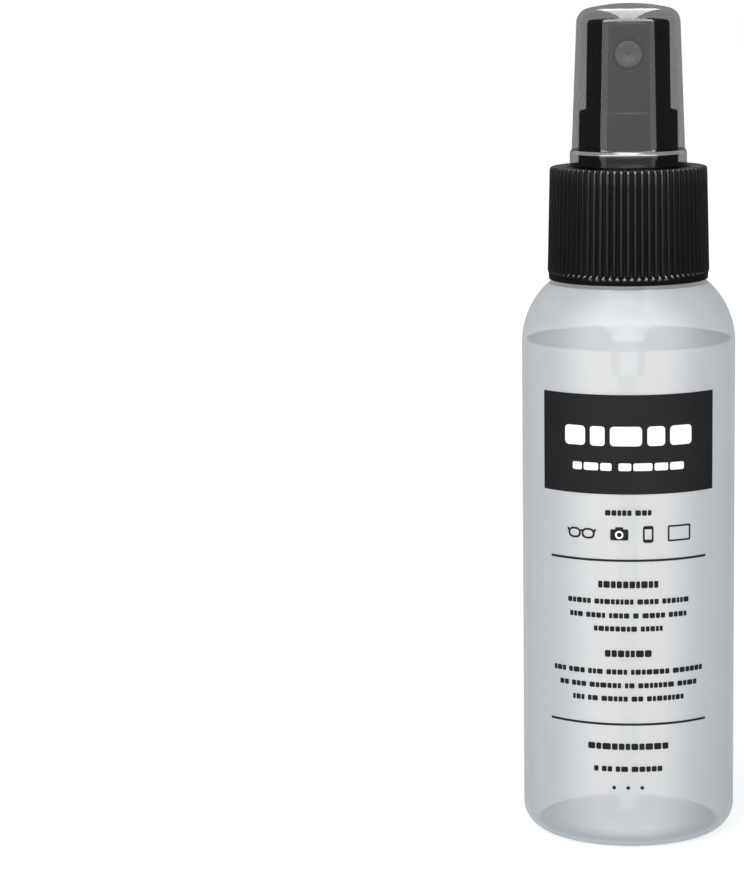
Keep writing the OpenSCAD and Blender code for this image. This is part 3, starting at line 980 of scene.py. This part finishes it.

# ---------------------------------------------------------------- return spring; the real one shortens with the stroke, here it is built at one length
def coil_spring(name, r, wire, z0, z1, turns, seg=28, sides=10):
    """A round-wire compression spring with closed end coils, capped at both ends."""
    bm = bmesh.new()
    n = seg * turns
    lo, hi = z0 + wire + 0.02, z1 - wire - 0.02
    dead = 2 * wire + 0.06
    mid = (hi - lo - 2 * dead) / (turns - 2)
    rings = []
    for i in range(n + 1):
        t = i / seg
        a = 2 * math.pi * t
        if t < 1:
            z = lo + dead * t
        elif t > turns - 1:
            z = hi - dead * (turns - t)
        else:
            z = lo + dead + mid * (t - 1)
        ring = []
        for j in range(sides):
            b_ = 2 * math.pi * j / sides
            q = r + wire * math.cos(b_)
            ring.append(bm.verts.new((q * math.cos(a) * MM, q * math.sin(a) * MM, (z + wire * math.sin(b_)) * MM)))
        rings.append(ring)
    for i in range(n):
        for j in range(sides):
            k = (j + 1) % sides
            bm.faces.new((rings[i][j], rings[i][k], rings[i + 1][k], rings[i + 1][j]))
    bm.faces.new(rings[0])
    bm.faces.new(rings[-1])
    return finish_mesh(bm, name, 50)


SPRING_Z0, SPRING_Z1, STROKE = 101.0, NZ - 12.03, 4.5
spring = coil_spring("coil_return_spring", 2.7, 0.28, SPRING_Z0, SPRING_Z1, 9)
dress(spring, M_SPRING)
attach(spring, "pump_unit")
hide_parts("return_spring")
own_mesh(spring)

# ---------------------------------------------------------------- inner parts keep their CAD shapes
INSIDE = {
    "neck_gasket": M_GASKET,
    "pump_housing": M_HOUSING_GLOW,
    "stem": M_NATURAL,
    "valve_plug": M_ACETAL,
    "piston": M_PISTON,
    "spring_seat": M_NATURAL,
    "check_ball": M_BALL,
    "dip_tube": M_TUBE_GLOW,
}
for n, m in INSIDE.items():
    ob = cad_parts[n]
    if ob.material_slots:
        for s in ob.material_slots:
            s.material = m
    else:
        ob.data.materials.append(m)

# ---------------------------------------------------------------- stage
fm, nt, fb = new_mat("floor_pale")
v = coords(nt)
fn = noise(nt, v, 6.0, 2.0)
nt.links.new(ramp(nt, fn, [(0.3, (0.80, 0.80, 0.80)), (0.7, (0.82, 0.82, 0.82))]), fb.inputs["Base Color"])
fb.inputs["Roughness"].default_value = 0.9
fb.inputs["Specular IOR Level"].default_value = 0.0
# the far floor is as pale as the backdrop; near the bottle it can still take a shadow
ln = nt.nodes.new("ShaderNodeVectorMath")
ln.operation = "LENGTH"
nt.links.new(v, ln.inputs[0])
mr = nt.nodes.new("ShaderNodeMapRange")
mr.inputs["From Min"].default_value = 0.15
mr.inputs["From Max"].default_value = 1.2
mr.inputs["To Min"].default_value = 0.50
mr.inputs["To Max"].default_value = 0.68
nt.links.new(ln.outputs["Value"], mr.inputs["Value"])
fb.inputs["Emission Color"].default_value = (1, 1, 1, 1)
nt.links.new(mr.outputs["Result"], fb.inputs["Emission Strength"])
bm = bmesh.new()
bmesh.ops.create_circle(bm, cap_ends=True, segments=96, radius=14.0)
me = bpy.data.meshes.new("floor")
bm.to_mesh(me)
bm.free()
floor = bpy.data.objects.new("floor", me)
scene.collection.objects.link(floor)
floor.location = (0, 0, -0.0001)
me.materials.append(fm)
floor.visible_glossy = False

world = bpy.data.worlds.new("studio")
scene.world = world
world.use_nodes = True
wn = world.node_tree
for n in list(wn.nodes):
    wn.nodes.remove(n)
wo = wn.nodes.new("ShaderNodeOutputWorld")
bg_fill = wn.nodes.new("ShaderNodeBackground")
bg_fill.inputs["Color"].default_value = (1, 1, 1, 1)
bg_fill.inputs["Strength"].default_value = 0.05
bg_seen = wn.nodes.new("ShaderNodeBackground")
bg_seen.inputs["Color"].default_value = (1, 1, 1, 1)
bg_seen.inputs["Strength"].default_value = 1.0
lp = wn.nodes.new("ShaderNodeLightPath")
mx = wn.nodes.new("ShaderNodeMixShader")
wn.links.new(lp.outputs["Is Camera Ray"], mx.inputs["Fac"])
wn.links.new(bg_fill.outputs[0], mx.inputs[1])
wn.links.new(bg_seen.outputs[0], mx.inputs[2])
bg_soft = wn.nodes.new("ShaderNodeBackground")
bg_soft.inputs["Color"].default_value = (0.97, 0.985, 1.0, 1)
bg_soft.inputs["Strength"].default_value = 0.42
mx2 = wn.nodes.new("ShaderNodeMixShader")
wn.links.new(lp.outputs["Is Diffuse Ray"], mx2.inputs["Fac"])
wn.links.new(bg_fill.outputs[0], mx2.inputs[1])
wn.links.new(bg_soft.outputs[0], mx2.inputs[2])
wn.links.new(mx2.outputs[0], mx.inputs[1])
wn.links.new(mx.outputs[0], wo.inputs["Surface"])


def softbox(name, loc, target, sx, sy, power, spread_deg=180):
    li = bpy.data.lights.new(name, "AREA")
    li.shape = "RECTANGLE"
    li.size, li.size_y = sx, sy
    li.energy = power
    li.spread = math.radians(spread_deg)
    ob = bpy.data.objects.new(name, li)
    scene.collection.objects.link(ob)
    ob.location = loc
    d = Vector(target) - Vector(loc)
    ob.rotation_euler = d.to_track_quat("-Z", "Y").to_euler()
    ob.visible_camera = False
    return ob


def only(ob, diffuse=True, glossy=True):
    ob.visible_diffuse = diffuse
    ob.visible_glossy = glossy
    ob.visible_transmission = glossy
    return ob


# what the gloss shows: a broad pale front panel, brighter at its two ends, and a strip overhead
def panel(name, loc, target, sx, sy, radiance):
    return only(softbox(name, loc, target, sx, sy, radiance * math.pi * sx * sy), False, True)


panel("front_panel", (0.0, -1.3, 0.59), (0, 0, 0.59), 4.3, 1.22, 0.46)
panel("front_left", (-1.70, -1.29, 0.59), (-1.70, 0, 0.59), 0.9, 1.22, 0.95)
panel("front_right", (1.75, -1.29, 0.59), (1.75, 0, 0.59), 0.8, 1.22, 0.8)
panel("front_upper", (0.0, -1.28, 0.67), (0, 0, 0.67), 4.3, 1.14, 1.25)
panel("front_high", (0.0, -1.27, 0.98), (0, 0, 0.98), 4.0, 0.64, 7.5)
panel("overhead_strip", (0.0, 0.12, 1.25), (0, 0.12, 0), 0.86, 2.9, 9.5)
# what the matt surfaces get: an even, soft front light with a key from the upper left
only(softbox("soft_front", (0.0, -1.6, 0.40), (0, 0, 0.08), 3.0, 1.6, 23.0), True, False)
only(softbox("key", (-1.0, -1.15, 0.95), (0, 0, 0.1), 0.5, 0.5, 5.0), True, False)
only(softbox("soft_top", (0.0, -0.3, 1.6), (0, 0, 0), 1.6, 1.6, 4.0), True, False)

scene.view_settings.view_transform = "Standard"
scene.view_settings.look = "None"

# ---------------------------------------------------------------- camera
cam_data = bpy.data.cameras.new("camera")
cam = bpy.data.objects.new("camera", cam_data)
scene.collection.objects.link(cam)
cam_data.sensor_width = 36.0
cam_data.lens = 3204.0 * 36.0 / 892.0
cam_data.clip_start = 0.01
cam_data.clip_end = 60.0
CAM_AT = Vector((0.000667, -0.615865, 0.173006))
PITCH_DEG, YAW_DEG, ROLL_DEG = 8.975, 4.693, -0.725
cam.location = CAM_AT
cam.rotation_mode = "XYZ"
rot = (
    Matrix.Rotation(math.radians(YAW_DEG), 4, "Z")
    @ Matrix.Rotation(math.radians(90 - PITCH_DEG), 4, "X")
    @ Matrix.Rotation(math.radians(ROLL_DEG), 4, "Z")
)
cam.rotation_euler = rot.to_euler()
scene.camera = cam
